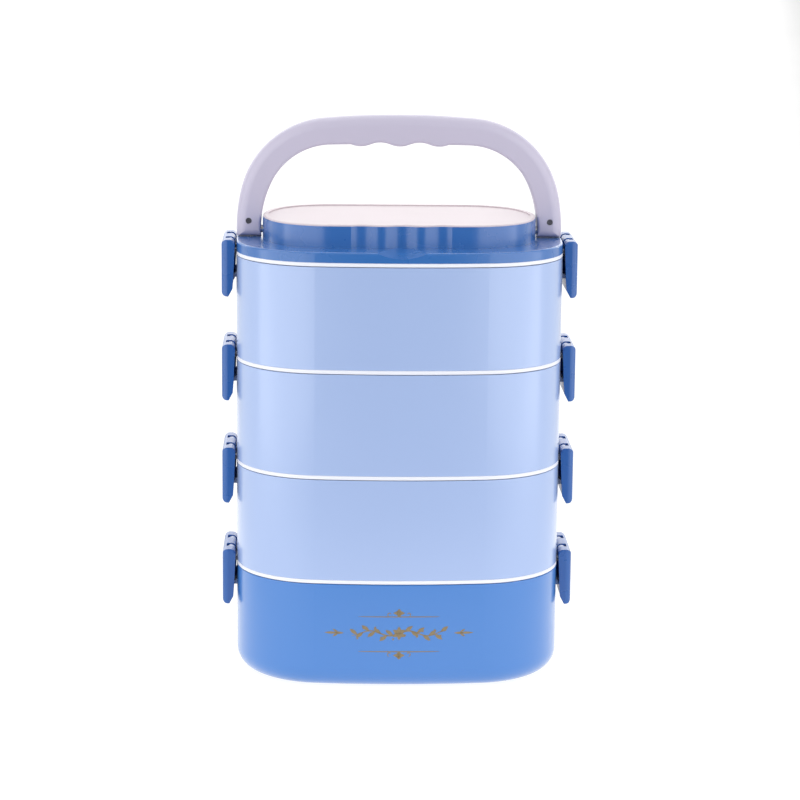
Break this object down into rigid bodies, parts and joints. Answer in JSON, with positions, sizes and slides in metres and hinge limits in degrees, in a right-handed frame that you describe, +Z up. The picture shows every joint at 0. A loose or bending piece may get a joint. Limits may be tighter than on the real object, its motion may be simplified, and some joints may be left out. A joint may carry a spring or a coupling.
{
  "type": "tiffin carrier",
  "caption": "Stacking lunch carrier with an oblong base bowl, lift-off tiers held by side clips, and a lid with a folding bail handle.",
  "frame": {"origin": "middle of the base's underside, on the plane that the carrier stands on", "axes": "+Z up through the stack and the handle, X along the long side from clip to clip, -Y the decorated front"},
  "size_m": [0.1846, 0.124, 0.2912],
  "materials": {
    "base_blue": "smooth satin-gloss moulded plastic",
    "tier_pale_blue": "smooth satin-gloss moulded plastic",
    "lid_blue": "glossy moulded plastic",
    "clip_blue": "glossy moulded plastic",
    "white_plate": "smooth white plastic",
    "white_cover": "smooth white plastic",
    "handle_lilac": "satin pale lilac-grey plastic",
    "silicone_gasket": "translucent white silicone",
    "steel_liner": "brushed stainless steel",
    "steel_pin": "ground steel pin",
    "gold_print": "thin printed antique-gold ornament",
    "steel_screw": "darkened zinc-plated screw"
  },
  "bodies": {
    "base": {"base_shell": "base_blue", "base_liner": "steel_liner"},
    "lower_tier": {"lower_tier_seal_plate": "white_plate", "lower_tier_gasket": "silicone_gasket", "lower_tier_shell": "tier_pale_blue", "lower_tier_liner": "steel_liner", "lower_tier_clip_pins": "steel_pin"},
    "middle_tier": {"middle_tier_seal_plate": "white_plate", "middle_tier_gasket": "silicone_gasket", "middle_tier_shell": "tier_pale_blue", "middle_tier_liner": "steel_liner", "middle_tier_clip_pins": "steel_pin"},
    "upper_tier": {"upper_tier_seal_plate": "white_plate", "upper_tier_gasket": "silicone_gasket", "upper_tier_shell": "tier_pale_blue", "upper_tier_liner": "steel_liner", "upper_tier_clip_pins": "steel_pin"},
    "lid": {"lid_seal_plate": "white_plate", "lid_gasket": "silicone_gasket", "lid_shell": "lid_blue", "top_panel": "white_cover", "lid_clip_pins": "steel_pin", "handle_pins": "steel_pin"},
    "handle": {"handle_front": "handle_lilac", "handle_back": "handle_lilac", "handle_screws": "steel_screw"},
    "lower_tier_clip_left": {"lower_tier_clip_left": "clip_blue"},
    "lower_tier_clip_right": {"lower_tier_clip_right": "clip_blue"},
    "middle_tier_clip_left": {"middle_tier_clip_left": "clip_blue"},
    "middle_tier_clip_right": {"middle_tier_clip_right": "clip_blue"},
    "upper_tier_clip_left": {"upper_tier_clip_left": "clip_blue"},
    "upper_tier_clip_right": {"upper_tier_clip_right": "clip_blue"},
    "lid_clip_left": {"lid_clip_left": "clip_blue"},
    "lid_clip_right": {"lid_clip_right": "clip_blue"}
  },
  "joints": [
    {"name": "lower_tier_lift", "type": "slide", "parent": "base", "child": "lower_tier", "axis": [0, 0, 1], "range_m": [0, 0.065]},
    {"name": "middle_tier_lift", "type": "slide", "parent": "lower_tier", "child": "middle_tier", "axis": [0, 0, 1], "range_m": [0, 0.065]},
    {"name": "upper_tier_lift", "type": "slide", "parent": "middle_tier", "child": "upper_tier", "axis": [0, 0, 1], "range_m": [0, 0.065]},
    {"name": "lid_lift", "type": "slide", "parent": "upper_tier", "child": "lid", "axis": [0, 0, 1], "range_m": [0, 0.065]},
    {"name": "handle_fold", "type": "hinge", "parent": "lid", "child": "handle", "pos_m": [0, 0, 0.2317], "axis": [1, 0, 0], "range_deg": [0, 90]},
    {"name": "lower_tier_clip_left_swing", "type": "hinge", "parent": "lower_tier", "child": "lower_tier_clip_left", "pos_m": [-0.088, 0, 0.0613], "axis": [0, 1, 0], "range_deg": [0, 90]},
    {"name": "lower_tier_clip_right_swing", "type": "hinge", "parent": "lower_tier", "child": "lower_tier_clip_right", "pos_m": [0.088, 0, 0.0613], "axis": [0, -1, 0], "range_deg": [0, 90]},
    {"name": "middle_tier_clip_left_swing", "type": "hinge", "parent": "middle_tier", "child": "middle_tier_clip_left", "pos_m": [-0.088, 0, 0.1161], "axis": [0, 1, 0], "range_deg": [0, 90]},
    {"name": "middle_tier_clip_right_swing", "type": "hinge", "parent": "middle_tier", "child": "middle_tier_clip_right", "pos_m": [0.088, 0, 0.1161], "axis": [0, -1, 0], "range_deg": [0, 90]},
    {"name": "upper_tier_clip_left_swing", "type": "hinge", "parent": "upper_tier", "child": "upper_tier_clip_left", "pos_m": [-0.088, 0, 0.1709], "axis": [0, 1, 0], "range_deg": [0, 90]},
    {"name": "upper_tier_clip_right_swing", "type": "hinge", "parent": "upper_tier", "child": "upper_tier_clip_right", "pos_m": [0.088, 0, 0.1709], "axis": [0, -1, 0], "range_deg": [0, 90]},
    {"name": "lid_clip_left_swing", "type": "hinge", "parent": "lid", "child": "lid_clip_left", "pos_m": [-0.088, 0, 0.2257], "axis": [0, 1, 0], "range_deg": [0, 90]},
    {"name": "lid_clip_right_swing", "type": "hinge", "parent": "lid", "child": "lid_clip_right", "pos_m": [0.088, 0, 0.2257], "axis": [0, -1, 0], "range_deg": [0, 90]}
  ]
}
